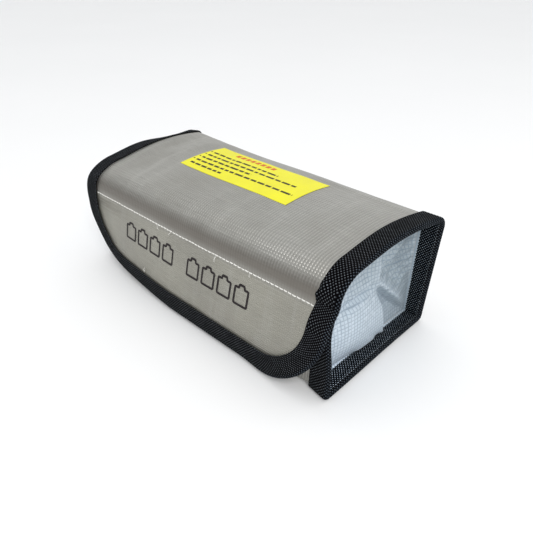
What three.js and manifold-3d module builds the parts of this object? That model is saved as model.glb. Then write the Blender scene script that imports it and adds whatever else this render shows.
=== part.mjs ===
// Soft fire-resistant bag for a model battery: a long box sewn from silver coated glass cloth, with
// recessed end panels, black binding tape over every raw edge, and a front flap that closes over a
// slot-shaped mouth with hook-and-loop strips.
//
// Millimetres. X runs along the bag, the flap hangs on the -Y side and +Z is up. The origin is the
// centre of the face that the bag rests on.

import * as THREE from 'three';
import { mergeVertices } from 'three/addons/utils/BufferGeometryUtils.js';
import Module from 'manifold-3d';

const wasm = await Module();
wasm.setup();

// ---- driving dimensions ----

const LENGTH = 185;             // over the tapes at both ends
const WIDTH = 75;               // front tape to back tape, flap not counted
const HEIGHT = 60;

const FABRIC = 0.5;             // outer silver cloth
const LINING = 0.4;             // inner cloth
const TAPE = 0.6;               // one leaf of the folded binding tape
const GAP = 0.3;                // air between sewn layers
const LEAF_WIDTH = 10;          // how far each leaf of an end tape reaches from its fold

const RADIUS_TOP_FRONT = 8;
const RADIUS_TOP_BACK = 9;
const RADIUS_BOTTOM = 4;

const END_RECESS = 11.2;        // tape fold to the face of an end panel
const MOUTH_LOW = 29;           // raw top edge of the front panel
const MOUTH_HIGH = 46.8;        // lower edge of the strip that the flap hangs from
const END_TAPE_TOP = 43.5;      // top of the tape on the front edge of each end panel
const MOUTH_TAPE_WIDTH = 5;
const BOTTOM_SETTLE = 1.2;      // run over which the bottom cloth drops to the table

const HINGE_Y = -39.5;
const HINGE_Z = 46.5;
const FLAP_TILT = THREE.MathUtils.degToRad(5.5);
const FLAP_DROP = 45;           // hinge line to the lower edge of the flap
const FLAP_TOP = 0.4;           // hinge line to the first edge of the flap
const FLAP_HALF_TOP = 92.5;     // half width of the flap where it hangs
const FLAP_HALF_LOW = 90;       // half width where its corners begin to turn
const FLAP_CORNER = 30;
const SEAM_DROP = 3.2;          // hinge line to the row of stitches across the flap

const STRIP_LENGTH = 124;
const STRIP_WIDTH = 12;
const LOOP_THICKNESS = 2;
const HOOK_THICKNESS = 1.5;
const LOOP_LOW = 11.5;          // lower edge of the loop strip above the table
const HOOK_DROP = 22.6;         // hinge line to the upper edge of the hook strip

const LABEL = { length: 80, width: 31, thickness: 0.3, y: 8 };
const THREAD = 0.3;

// ---- insets of the layers from the nominal box ----

const TAPE_OUTER_IN = TAPE;
const WRAP_OUT = TAPE + GAP;
const WRAP_IN = WRAP_OUT + FABRIC;
const INNER_OUT = WRAP_IN + GAP;            // end panel rim, and the lining of the walls
const RIM_IN = INNER_OUT + FABRIC;
const LINING_IN = INNER_OUT + LINING;
const TAPE_INNER_OUT = RIM_IN + GAP;
const TAPE_INNER_IN = TAPE_INNER_OUT + TAPE;

const END = LENGTH / 2;
const SHEET_END = END - WRAP_OUT;           // raw ends of the cloth, inside the tape fold
const END_FACE = END - END_RECESS;
const LINING_END = END_FACE - FABRIC - GAP;
const FAR = 200;                            // beyond every part, for cutting blocks

// ---- finishes ----

const FINISH = {
  silver: { color: 0x9c9c98, roughness: 0.42, metalness: 0.35 },
  white: { color: 0xbfccd9, roughness: 0.5, metalness: 0.1 },
  foil: { color: 0xb4b8bb, roughness: 0.35, metalness: 0.5 },
  tape: { color: 0x17191b, roughness: 0.85, metalness: 0 },
  strip: { color: 0x121314, roughness: 0.95, metalness: 0 },
  yellow: { color: 0xf6ef3a, roughness: 0.55, metalness: 0 },
  thread: { color: 0xe6e4dd, roughness: 0.7, metalness: 0 },
};

const bag = new THREE.Group();
const flap = new THREE.Group();
flap.position.set(0, HINGE_Y, HINGE_Z);
flap.rotation.x = -FLAP_TILT;
bag.add(flap);

function add(name, geometry, finish, parent = bag) {
  const mesh = new THREE.Mesh(geometry, new THREE.MeshStandardMaterial(FINISH[finish]));
  mesh.name = name;
  parent.add(mesh);
}

// ---- solids ----

function toSolid(geometry) {
  const bare = geometry.index ? geometry.clone() : geometry;
  bare.deleteAttribute('normal');
  bare.deleteAttribute('uv');
  const merged = mergeVertices(bare, 1e-4);
  return new wasm.Manifold(new wasm.Mesh({
    numProp: 3,
    vertProperties: new Float32Array(merged.attributes.position.array),
    triVerts: new Uint32Array(merged.index.array),
  }));
}

function toGeometry(solid) {
  const mesh = solid.getMesh();
  const geometry = new THREE.BufferGeometry();
  geometry.setAttribute('position', new THREE.BufferAttribute(mesh.vertProperties, 3));
  geometry.setIndex(new THREE.BufferAttribute(mesh.triVerts, 1));
  geometry.computeVertexNormals();
  return geometry;
}

function block(x0, x1, y0, y1, z0, z1) {
  const geometry = new THREE.BoxGeometry(x1 - x0, y1 - y0, z1 - z0);
  geometry.translate((x0 + x1) / 2, (y0 + y1) / 2, (z0 + z1) / 2);
  return geometry;
}

// Turns a drawing in (a, b), drawn along c, so that a lies along Y, b along Z and c along X.
const ALONG_X = new THREE.Matrix4().makeBasis(
  new THREE.Vector3(0, 1, 0), new THREE.Vector3(0, 0, 1), new THREE.Vector3(1, 0, 0));

// Turns a drawing in (a, b), drawn along c, so that a lies along X, b along Z and c along -Y.
const ALONG_FRONT = new THREE.Matrix4().makeBasis(
  new THREE.Vector3(1, 0, 0), new THREE.Vector3(0, 0, 1), new THREE.Vector3(0, -1, 0));

function extrude(shape, from, to, basis) {
  const settings = { depth: to - from, bevelEnabled: false, curveSegments: 6 };
  const geometry = new THREE.ExtrudeGeometry(shape, settings);
  geometry.translate(0, 0, from);
  geometry.applyMatrix4(basis);
  return geometry;
}

// Cross-section of the bag, drawn in from the nominal box by a layer's inset.
function section(inset) {
  const half = WIDTH / 2 - inset;
  const low = inset;
  const high = HEIGHT - inset;
  const bottom = RADIUS_BOTTOM - inset;
  const back = RADIUS_TOP_BACK - inset;
  const front = RADIUS_TOP_FRONT - inset;
  const shape = new THREE.Shape();
  shape.moveTo(-half + bottom, low);
  shape.lineTo(half - bottom, low);
  shape.absarc(half - bottom, low + bottom, bottom, -Math.PI / 2, 0, false);
  shape.lineTo(half, high - back);
  shape.absarc(half - back, high - back, back, 0, Math.PI / 2, false);
  shape.lineTo(-half + front, high);
  shape.absarc(-half + front, high - front, front, Math.PI / 2, Math.PI, false);
  shape.lineTo(-half, low + bottom);
  shape.absarc(-half + bottom, low + bottom, bottom, Math.PI, Math.PI * 1.5, false);
  return shape;
}

function plug(inset, x0, x1) {
  return toSolid(extrude(section(inset), x0, x1, ALONG_X));
}

function sleeve(outer, inner, x0, x1) {
  return plug(outer, x0, x1).subtract(plug(inner, x0 - 1, x1 + 1));
}

// Blocks that cut a sleeve into the lengths of its cross-section.
const TOP_BREAK = HEIGHT - RADIUS_TOP_BACK - GAP;
const CORNER_Y = WIDTH / 2 - RADIUS_BOTTOM;

function region(y0, y1, z0, z1) {
  return toSolid(block(-FAR, FAR, y0, y1, z0, z1));
}

function cut(solid, ...blocks) {
  const whole = blocks.reduce((sum, next) => sum.add(next));
  return toGeometry(solid.intersect(whole));
}

// ---- outer cloth and lining of the four walls ----

function walls(names, outer, inner, end, finish) {
  const cloth = sleeve(outer, inner, -end, end);
  add(names.top, cut(cloth, region(-FAR, FAR, TOP_BREAK, FAR)), finish);
  add(names.apron, cut(cloth, region(-FAR, 0, MOUTH_HIGH, TOP_BREAK - GAP)), finish);
  add(names.back, cut(cloth, region(CORNER_Y, FAR, -FAR, TOP_BREAK - GAP)), finish);
  add(names.front, cut(cloth, region(-FAR, -CORNER_Y, -FAR, MOUTH_LOW)), finish);
}

// The bottom cloth runs into both end tapes and settles onto the table between them.
function bottomPanel() {
  const lift = WRAP_OUT;
  const knee = END - LEAF_WIDTH - GAP;
  const flat = knee - BOTTOM_SETTLE;
  const shape = new THREE.Shape();
  shape.moveTo(-SHEET_END, lift);
  shape.lineTo(-knee, lift);
  shape.lineTo(-flat, 0);
  shape.lineTo(flat, 0);
  shape.lineTo(knee, lift);
  shape.lineTo(SHEET_END, lift);
  shape.lineTo(SHEET_END, lift + FABRIC);
  shape.lineTo(knee, lift + FABRIC);
  shape.lineTo(flat, FABRIC);
  shape.lineTo(-flat, FABRIC);
  shape.lineTo(-knee, lift + FABRIC);
  shape.lineTo(-SHEET_END, lift + FABRIC);
  const half = CORNER_Y - GAP;
  return extrude(shape, -half, half, ALONG_FRONT);
}

function bottomLining() {
  const half = CORNER_Y - GAP;
  const low = FABRIC + GAP;
  return block(-LINING_END, LINING_END, -half, half, low, low + LINING);
}

// ---- ends ----

// Mirrors a solid made at the +X end when side is -1.
function atEnd(side, solid) {
  return side > 0 ? solid : solid.mirror([1, 0, 0]);
}

// Shallow tray: the recessed face, and a rim that turns out into the tape.
function endPanel(side) {
  const tray = plug(INNER_OUT, END_FACE - FABRIC, SHEET_END);
  const hollow = plug(RIM_IN, END_FACE, FAR);
  return toGeometry(atEnd(side, tray.subtract(hollow)));
}

function endLining(side) {
  const sheet = plug(LINING_IN + GAP, LINING_END - LINING, LINING_END);
  return toGeometry(atEnd(side, sheet));
}

// Binding tape folded over the end seam: two leaves and the fold between them.
function endTape(side) {
  const inner = END - LEAF_WIDTH;
  const band = sleeve(0, TAPE_INNER_IN, inner, END);
  const slot = sleeve(TAPE_OUTER_IN, TAPE_INNER_OUT, inner - 1, END - TAPE);
  return atEnd(side, band.subtract(slot));
}

function end(side, word) {
  add(`end_panel_${word}`, endPanel(side), 'white');
  add(`end_lining_${word}`, endLining(side), 'foil');
  const tape = endTape(side);
  const overTop = [region(-FAR, FAR, TOP_BREAK, FAR), region(-FAR, 0, MOUTH_HIGH, TOP_BREAK + 1)];
  const back = region(0, FAR, RADIUS_BOTTOM + GAP, TOP_BREAK - GAP);
  const front = region(-FAR, 0, RADIUS_BOTTOM + GAP, END_TAPE_TOP);
  add(`end_tape_top_${word}`, cut(tape, ...overTop), 'tape');
  add(`end_tape_back_${word}`, cut(tape, back), 'tape');
  add(`end_tape_bottom_${word}`, cut(tape, region(-FAR, FAR, -FAR, RADIUS_BOTTOM)), 'tape');
  add(`end_tape_front_${word}`, cut(tape, front), 'tape');
}

// ---- mouth ----

// Narrow tape folded over the top edge of the front panel and its lining.
function mouthBinding() {
  const outside = -WIDTH / 2;
  const inside = outside + LINING_IN + GAP + TAPE;
  const top = MOUTH_LOW + GAP + TAPE;
  const low = top - MOUTH_TAPE_WIDTH;
  const shape = new THREE.Shape();
  shape.moveTo(outside, low);
  shape.lineTo(outside + TAPE, low);
  shape.lineTo(outside + TAPE, top - TAPE);
  shape.lineTo(inside - TAPE, top - TAPE);
  shape.lineTo(inside - TAPE, low);
  shape.lineTo(inside, low);
  shape.lineTo(inside, top);
  shape.lineTo(outside, top);
  const half = LINING_END - LINING - GAP;
  return extrude(shape, -half, half, ALONG_X);
}

function loopStrip() {
  const y = -WIDTH / 2 + WRAP_OUT - GAP;
  const half = STRIP_LENGTH / 2;
  return block(-half, half, y - LOOP_THICKNESS, y, LOOP_LOW, LOOP_LOW + STRIP_WIDTH);
}

function labelPatch() {
  const z = HEIGHT - WRAP_OUT + GAP;
  const half = LABEL.length / 2;
  const near = LABEL.y - LABEL.width / 2;
  return block(-half, half, near, near + LABEL.width, z, z + LABEL.thickness);
}

// ---- flap, drawn in its own plane: X across, Z down from the hinge line, -Y outward ----

const FLAP_HALF_STACK = 1.5 * GAP + TAPE + (FABRIC + LINING) / 2;
const PANEL_OUT = FLAP_HALF_STACK - TAPE - GAP;
const LINING_FACE = -FLAP_HALF_STACK + TAPE + GAP;

// The flap's outline, drawn in from its edge; the top edge is where it hangs, and is not bound.
function flapOutline(inset, top = -FLAP_TOP) {
  const radius = FLAP_CORNER - inset;
  const turn = -FLAP_DROP + FLAP_CORNER;
  const foot = FLAP_HALF_LOW - FLAP_CORNER;
  const shape = new THREE.Shape();
  shape.moveTo(-FLAP_HALF_TOP + inset, top);
  shape.lineTo(-FLAP_HALF_LOW + inset, turn);
  shape.absarc(-foot, turn, radius, Math.PI, Math.PI * 1.5, false);
  shape.lineTo(foot, -FLAP_DROP + inset);
  shape.absarc(foot, turn, radius, Math.PI * 1.5, Math.PI * 2, false);
  shape.lineTo(FLAP_HALF_TOP - inset, top);
  return shape;
}

function flapSheet(low, thickness) {
  return extrude(flapOutline(WRAP_OUT), low, low + thickness, ALONG_FRONT);
}

function flapBinding() {
  const band = toSolid(extrude(flapOutline(0), -FLAP_HALF_STACK, FLAP_HALF_STACK, ALONG_FRONT));
  const window = extrude(flapOutline(LEAF_WIDTH, 1), -FAR, FAR, ALONG_FRONT);
  const slotHalf = FLAP_HALF_STACK - TAPE;
  const slot = extrude(flapOutline(TAPE, 1), -slotHalf, slotHalf, ALONG_FRONT);
  return band.subtract(toSolid(window)).subtract(toSolid(slot));
}

function buildFlap() {
  add('flap_panel', flapSheet(PANEL_OUT - FABRIC, FABRIC), 'silver', flap);
  add('flap_lining', flapSheet(LINING_FACE, LINING), 'foil', flap);
  const tape = flapBinding();
  const foot = FLAP_HALF_LOW - FLAP_CORNER;
  const left = toSolid(block(-FAR, -foot - GAP, -FAR, FAR, -FAR, FAR));
  const middle = toSolid(block(-foot, foot, -FAR, FAR, -FAR, FAR));
  const right = toSolid(block(foot + GAP, FAR, -FAR, FAR, -FAR, FAR));
  add('flap_binding_left', cut(tape, left), 'tape', flap);
  add('flap_binding_bottom', cut(tape, middle), 'tape', flap);
  add('flap_binding_right', cut(tape, right), 'tape', flap);

  const hookFace = -LINING_FACE + GAP;
  const half = STRIP_LENGTH / 2;
  const hook = block(-half, half, hookFace, hookFace + HOOK_THICKNESS,
    -HOOK_DROP - STRIP_WIDTH, -HOOK_DROP);
  add('hook_strip', hook, 'strip', flap);

  const run = FLAP_HALF_TOP - LEAF_WIDTH - 4 * GAP;
  const face = -PANEL_OUT - GAP;
  const seam = block(-run, run, face - THREAD, face, -SEAM_DROP - THREAD, -SEAM_DROP + THREAD);
  add('flap_seam', seam, 'thread', flap);
}

// ---- the bag ----

walls({ top: 'top_panel', apron: 'front_apron', back: 'back_panel', front: 'front_panel' },
  WRAP_OUT, WRAP_IN, SHEET_END, 'silver');
walls({ top: 'lining_top', apron: 'lining_apron', back: 'lining_back', front: 'lining_front' },
  INNER_OUT, LINING_IN, LINING_END, 'foil');
add('bottom_panel', bottomPanel(), 'silver');
add('lining_bottom', bottomLining(), 'foil');
end(-1, 'left');
end(1, 'right');
add('mouth_binding', mouthBinding(), 'tape');
add('loop_strip', loopStrip(), 'strip');
add('label_patch', labelPatch(), 'yellow');
buildFlap();

export default bag;
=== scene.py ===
import math

import bpy
import numpy as np
from mathutils import Matrix, Vector


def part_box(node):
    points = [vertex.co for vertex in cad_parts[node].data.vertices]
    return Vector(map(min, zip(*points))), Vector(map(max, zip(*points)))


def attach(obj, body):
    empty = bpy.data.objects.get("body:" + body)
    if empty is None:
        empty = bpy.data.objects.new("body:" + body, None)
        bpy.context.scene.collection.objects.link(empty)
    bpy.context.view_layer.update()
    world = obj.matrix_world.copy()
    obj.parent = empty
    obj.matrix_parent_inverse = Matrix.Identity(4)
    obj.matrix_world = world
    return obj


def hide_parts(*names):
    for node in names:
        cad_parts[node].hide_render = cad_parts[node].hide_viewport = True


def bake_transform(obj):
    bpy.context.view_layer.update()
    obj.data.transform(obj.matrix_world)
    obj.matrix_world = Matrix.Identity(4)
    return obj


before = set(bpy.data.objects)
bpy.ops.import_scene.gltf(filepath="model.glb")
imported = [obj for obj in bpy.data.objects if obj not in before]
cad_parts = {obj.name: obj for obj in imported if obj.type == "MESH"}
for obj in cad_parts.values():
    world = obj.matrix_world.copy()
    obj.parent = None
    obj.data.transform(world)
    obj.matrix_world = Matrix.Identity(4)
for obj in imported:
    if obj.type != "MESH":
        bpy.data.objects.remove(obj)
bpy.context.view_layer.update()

# ---- Driving dimensions, in millimetres ----
# X runs along the bag, the flap is on the -Y side, +Z is up.

MM = 0.001
TURN = 2 * math.pi


def span(node):
    low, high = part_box(node)
    return np.array(low) / MM, np.array(high) / MM


TOP_TAPE_LOW, TOP_TAPE_HIGH = span("end_tape_top_right")
END = TOP_TAPE_HIGH[0]
HEIGHT = TOP_TAPE_HIGH[2]
LEAF = END - TOP_TAPE_LOW[0]
HALF = span("end_tape_back_right")[1][1]
MOUTH_LOW = span("front_panel")[1][2]
TAPE_TOP = span("end_tape_front_right")[1][2]
FACE_X = span("end_panel_right")[0][0] + 0.5

CLOTH = 0.5
TAPE = 0.6
BOUND = 1.35                 # half the thickness of an edge bound with tape
WRAP_IN = 1.15               # middle of the wrap cloth, in from the outside of the bag
WRAP_UP = 1.5                # and up from the table, where it runs into the end tapes
TOP_FRONT, TOP_BACK, BOTTOM = 11.5, 5.0, 1.4
LINING_IN = 1.0              # middle of the lining, in from the middle of the outer cloth
EDGE_IN = 1.5                # raw edge of the outer cloth, in from the fold of its tape
CLOTH_HALF = END - EDGE_IN   # half lengths of the outer cloth and of the lining
LINING_HALF = FACE_X - 0.8
LINING_EDGE = LEAF - 0.7     # edge of the flap's lining, in from the fold of its tape
RIM_IN, FOIL_RIM_IN = 1.3, 1.9   # rims of the end cloth and its lining, in from the wrap
RIM_END = END - 1.6          # where the end cloth's turned-in rim stops

FOLD_Z = HEIGHT - WRAP_IN - TOP_FRONT    # where the flap leaves the shoulder of the bag
FLAP_LOW = 1.6               # lower edge of the flap above the table
FLAP_LENGTH = FOLD_Z - FLAP_LOW
FLAP_HALF = 90.4
FLAP_CORNER = 32.0
FLAP_TURN = FLAP_LENGTH - FLAP_CORNER     # how far down the corners begin
SPLIT_Z = 51.0               # height on the back where the lid's cloth meets the back's

STITCH_Z = 43.4
SEAM_DROP = FOLD_Z - STITCH_Z
STRIP_HALF = 62.0            # half length of the hook and loop strips
STRIP_TOP, STRIP_LOW = 24.0, 11.8
HOOK_DEEP, LOOP_DEEP = 1.5, 2.0

RIB = 1.5                    # pitch of the raised ribs of the silver cloth
NUB = 1.5                    # pitch of the binding tape's weave


# ---- Small helpers ----

def smooth(t):
    t = np.clip(t, 0, 1)
    return t * t * (3 - 2 * t)


def ramp(value, start, stop):
    return smooth((value - start) / (stop - start))


def bell(value, centre, width):
    return np.exp(-((value - centre) / width) ** 2)


def between(table, i, j, fi, fj):
    """The table read between (i, j) and (i + 1, j + 1). It repeats past its ends."""
    rows, columns = table.shape
    i, after_i, j, after_j = i % rows, (i + 1) % rows, j % columns, (j + 1) % columns
    low = table[i, j] * (1 - fi) + table[after_i, j] * fi
    high = table[i, after_j] * (1 - fi) + table[after_i, after_j] * fi
    return low * (1 - fj) + high * fj


def noise(a, b, cell, seed):
    """Smooth value noise from -1 to 1 over the plane (a, b), the same on every run."""
    table = np.random.default_rng(seed).uniform(-1, 1, (64, 64))
    ia, ib = np.floor(a / cell).astype(int), np.floor(b / cell).astype(int)
    fa, fb = smooth(a / cell - ia), smooth(b / cell - ib)
    return between(table, ia, ib, fa, fb)


def stack(*parts):
    return np.stack(np.broadcast_arrays(*parts), axis=-1).astype(float)


def travel(points):
    return np.concatenate([[0], np.cumsum(np.linalg.norm(np.diff(points, axis=0), axis=1))])


def unit(vectors):
    return vectors / np.linalg.norm(vectors, axis=1, keepdims=True)


def sideways(tangent):
    """Unit vectors a quarter turn from these vectors in a plane."""
    tangent = unit(tangent)
    return np.stack([tangent[:, 1], -tangent[:, 0]], -1)


def with_normals(points):
    length = travel(points)
    return length, points, sideways(np.gradient(points, length, axis=0))


def read_path(t, length, values):
    """Each column of the values along a path, at the distances t."""
    return [np.interp(t, length, column) for column in values.T]


# ---- Mesh building ----

def add_mesh(name, points, faces, material, weave=None):
    """A mesh object from points in millimetres and an array of quads (or triangles)."""
    faces = np.asarray(faces, np.int32)
    data = bpy.data.meshes.new(name)
    data.vertices.add(len(points))
    data.vertices.foreach_set("co", (np.asarray(points, float) * MM).astype(np.float32).ravel())
    data.loops.add(faces.size)
    data.loops.foreach_set("vertex_index", faces.ravel())
    data.polygons.add(len(faces))
    data.polygons.foreach_set("loop_start", np.arange(len(faces), dtype=np.int32) * faces.shape[1])
    data.polygons.foreach_set("use_smooth", np.ones(len(faces), bool))
    data.update(calc_edges=True)
    data.validate()
    if weave is not None:
        layer = data.attributes.new("weave", "FLOAT_VECTOR", "POINT")
        layer.data.foreach_set("vector", np.asarray(weave, np.float32).ravel())
    piece = bpy.data.objects.new(name, data)
    bpy.context.scene.collection.objects.link(piece)
    data.materials.append(material)
    return piece


class Gathered:
    """Many small grids of points, gathered into one mesh."""

    def __init__(self):
        self.points, self.marks, self.faces, self.count = [], [], [], 0

    def add(self, points, marks, *faces):
        self.faces += [part + self.count for part in faces]
        self.points.append(points.reshape(-1, 3))
        self.marks.append(marks.reshape(-1, 3))
        self.count += len(self.points[-1])

    def mesh(self, name, material):
        points, faces, marks = map(np.concatenate, (self.points, self.faces, self.marks))
        return add_mesh(name, points, faces, material, marks)


def outward(points, faces):
    """The faces, turned round if the closed mesh they make is inside out."""
    a, b, c = (points[faces[:, k]] for k in (0, 1, 2))
    volume = np.einsum("ij,ij->i", a, np.cross(b, c)).sum()
    if faces.shape[1] == 4:
        d = points[faces[:, 3]]
        volume += np.einsum("ij,ij->i", a, np.cross(c, d)).sum()
    return faces if volume > 0 else faces[:, ::-1]


def grid_faces(rows, columns, wrap=False):
    count = columns if wrap else columns - 1
    i, j = np.meshgrid(np.arange(rows - 1), np.arange(count), indexing="ij")
    k = (j + 1) % columns
    a, b = i * columns, (i + 1) * columns
    return np.stack([a + j, a + k, b + k, b + j], -1).reshape(-1, 4)


def two_faced(name, outer, inner, faces, material, weave):
    points = np.concatenate([outer.reshape(-1, 3), inner.reshape(-1, 3)])
    marks = np.concatenate([weave.reshape(-1, 3)] * 2)
    return add_mesh(name, points, outward(points, faces), material, marks)


def closed_sheet(name, outer, inner, material, weave):
    """A thin closed solid between two grids of points with the same rows and columns."""
    rows, columns = outer.shape[:2]
    size = rows * columns
    index = np.arange(size).reshape(rows, columns)
    rim = np.concatenate([index[0, :-1], index[:-1, -1], index[-1, :0:-1], index[:0:-1, 0]])
    after = np.roll(rim, -1)
    faces = np.concatenate([
        grid_faces(rows, columns),
        grid_faces(rows, columns)[:, ::-1] + size,
        np.stack([after, rim, rim + size, after + size], -1),
    ])
    piece = two_faced(name, outer, inner, faces, material, weave)
    rounded_off = np.arange(len(faces)) < len(faces) - len(rim)
    piece.data.polygons.foreach_set("use_smooth", rounded_off)
    return piece


# ---- Shape of the bag ----
# A point of the body is (x, s, off): s runs round the cross-section from the
# fold of the flap down the front, under the bag, up the back and over the top to the fold again,
# and off is the distance outward from the middle of the wrap cloth.

def arc(centre, radius, start, stop, step=0.25):
    count = max(6, int(radius * abs(stop - start) / step))
    angle = np.linspace(start, stop, count)
    return np.stack([centre[0] + radius * np.cos(angle), centre[1] + radius * np.sin(angle)], -1)


def make_outline():
    side = HALF - WRAP_IN
    low, high = WRAP_UP, HEIGHT - WRAP_IN
    right = math.pi / 2
    bends = [
        arc((-side + BOTTOM, low + BOTTOM), BOTTOM, 2 * right, 3 * right),
        arc((side - BOTTOM, low + BOTTOM), BOTTOM, 3 * right, 4 * right),
        arc((side - TOP_BACK, high - TOP_BACK), TOP_BACK, 0, right),
        arc((-side + TOP_FRONT, high - TOP_FRONT), TOP_FRONT, right, 2 * right),
        np.array([[-side, FOLD_Z]]),
    ]
    path = [np.array([[-side, FOLD_Z]])]
    for bend in bends:
        gap = np.linalg.norm(bend[0] - path[-1][-1])
        share = np.linspace(0, 1, max(2, int(gap)))[1:-1, None]
        path.append(path[-1][-1] * (1 - share) + bend[0] * share)
        path.append(bend)
    points = np.concatenate(path)
    step = np.linalg.norm(np.diff(points, axis=0), axis=1)
    return with_normals(points[np.concatenate([[True], step > 1e-6])])


OUTLINE_S, OUTLINE_P, OUTLINE_N = make_outline()
GIRTH = OUTLINE_S[-1]
FRONT_Y = OUTLINE_P[0, 0]


def front_station(z):
    on = (OUTLINE_N[:, 0] < -0.7) & (OUTLINE_S < GIRTH / 2)
    return float(np.interp(-z, -OUTLINE_P[on, 1], OUTLINE_S[on]))


TAPE_START = front_station(TAPE_TOP + 1.5)    # where the end tapes begin, by the flap's fold


def back_station(z):
    on = OUTLINE_N[:, 0] > 0.7
    return float(np.interp(z, OUTLINE_P[on, 1], OUTLINE_S[on]))


def body(x, s, off):
    y, z = read_path(s, OUTLINE_S, OUTLINE_P)
    ny, nz = read_path(s, OUTLINE_S, OUTLINE_N)
    return stack(x, y + off * ny, z + off * nz)


def stand_off(x, drop):
    """How far the flap stands out from the straight front, at a distance below its fold."""
    reach = 5.0 + 4.4 * ramp(x, -85, 0)
    return reach * (np.clip(drop, 0, None) / FLAP_LENGTH) ** 1.15


def flap(x, drop, off):
    """The flap's cloth. Its lower edge rises towards the left, where its corner is rounder."""
    step = 0.5
    slope = (stand_off(x, drop + step) - stand_off(x, drop - step)) / (2 * step)
    size = np.sqrt(1 + slope ** 2)
    y = FRONT_Y - stand_off(x, drop) - off / size
    corner = np.clip((-x - 35.5) / 54.5, 0, 1.1)
    hitch = 4.6 * ramp(-x, 0, 72) + 5.5 * corner ** 2
    hitch = hitch * (np.clip(drop, 0, None) / FLAP_LENGTH) ** 2
    return stack(x, y, FOLD_Z - drop + hitch + off * slope / size)


LID_START = back_station(SPLIT_Z)
LID_TURN = GIRTH - LID_START


def lid(x, w, off):
    """The lid: w runs from its joint with the back cloth, over the top and down the flap."""
    top = body(x, LID_START + np.minimum(w, LID_TURN), off)
    front = flap(x, np.maximum(w - LID_TURN, 0), off)
    return np.where((w < LID_TURN)[..., None], top, front)


# How far the top stands above the straight bag, at depths y, at the left end, half way along
# and at the right end. A smooth curve is put through each row.
RISE_AT = (-37, -28, -14, 0, 10, 24, 37)
RISE = [np.polyfit(RISE_AT, row, 4) for row in (
    (-0.4, 0.2, 3.0, 5.2, 6.3, 5.7, 3.8),
    (-0.7, 0.3, 2.4, 4.0, 4.3, 3.2, 1.0),
    (0.6, 0.8, 2.2, 3.5, 3.1, 0.9, -1.5),
)]


def soften(points):
    """Bends the straight bag into the slack shape that the cloth takes. Works on any point."""
    p = np.array(points, float)
    x, y, z = p[..., 0].copy(), p[..., 1].copy(), p[..., 2].copy()
    up = np.clip(z / HEIGHT, 0, 1.2)
    left, right = ramp(-x, 10, END), ramp(x, 10, END)
    depth = np.clip(y, -39, 38)
    rise = [np.polyval(row, depth) for row in RISE]
    rise = rise[0] * left + rise[1] * (1 - left - right) + rise[2] * right
    tilt = 0.36 * bell(y, 17, 17) * np.clip(-x - END + LEAF + 1, 0, None)
    p[..., 2] = z + up ** 2 * rise - up ** 4 * tilt
    p[..., 0] = x + 9.5 * up ** 4.5 * ramp(-x, 25, END) + 2.2 * up * ramp(x, 25, END)
    bow = 0.032 * (1 - up) ** 2 + 0.03 * np.sin(math.pi * np.clip(up, 0, 1))
    bow = bow + 0.05 * ramp(x, 80, END) * (1 - ramp(z, 0, 14)) * ramp(-y, 0, 38)
    p[..., 1] = y * (1 + bow) + (1.7 + 2.6 * right) * up ** 2 * ramp(y, 0, HALF)
    p[..., 0] += 0.8 * ramp(x, 80, END) * (1 - ramp(z, 0, 16)) * ramp(-y, -20, 38)
    corner = ramp(-x, 45, END) * ramp(-y, 8, 34)
    p[..., 0] += 3.6 * (1 - ramp(z, 19, 46)) * corner
    curl = 3.3 * ramp(HEIGHT - z, 18, 54) * corner
    tuck = 2.0 * (1 - ramp(x, 45, 75))
    p[..., 1] += curl + tuck * (1 - ramp(z, 1, 14)) * ramp(-y, 22, 36)
    return p


def press(points):
    """Pushes the front of the body in, where the flap with its tape and hook strip lies on it."""
    p = np.array(points, float)
    x, y, z = p[..., 0], p[..., 1], p[..., 2]
    at_strip = ramp(STRIP_HALF + 8 - np.abs(x), 0, 8) * ramp(z, 6, 11) * (1 - ramp(z, 25, 30))
    slack_end = 3.4 * ramp(-x, 56, 90) * (1 - ramp(z, 8, 34))
    need = 2 * BOUND + 0.25 + 2.4 * at_strip + slack_end
    short = need - stand_off(x, FOLD_Z - z)
    push = (short + np.sqrt(short ** 2 + 0.4)) / 2
    behind = ramp(-y, 18, 33) * (1 - ramp(z, 44.5, FOLD_Z))
    p[..., 1] = y + push * behind * ramp(z, 0, 8)
    high = np.where(x < 0, 1 + 1.0 * (1 - ramp(z, 4, 30)), ramp(z, 12, 36))
    p[..., 0] = x - 2.6 * np.sign(x) * ramp(np.abs(x), 76, 90) * behind * high
    return p


def settle(points):
    """Lets the cloth under the bag sag onto the table between the end tapes."""
    p = np.array(points, float)
    free = 1 - ramp(np.abs(p[..., 0]), END - 2.2 * LEAF, END - LEAF)
    p[..., 2] -= (WRAP_UP - 0.35) * free * (1 - ramp(p[..., 2], 2, 14))
    return p


def above_table(points):
    p = np.array(points, float)
    p[..., 2] = np.maximum(p[..., 2], 0.02)
    return p


def body_shape(points):
    return above_table(soften(press(settle(points))))


# ---- Materials ----

def add_node(tree, kind, inputs=(), **settings):
    made = tree.nodes.new("ShaderNode" + kind)
    for key, value in settings.items():
        setattr(made, key, value)
    for key, value in dict(inputs).items():
        if isinstance(value, bpy.types.NodeSocket):
            tree.links.new(value, made.inputs[key])
        else:
            made.inputs[key].default_value = value
    return made


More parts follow.
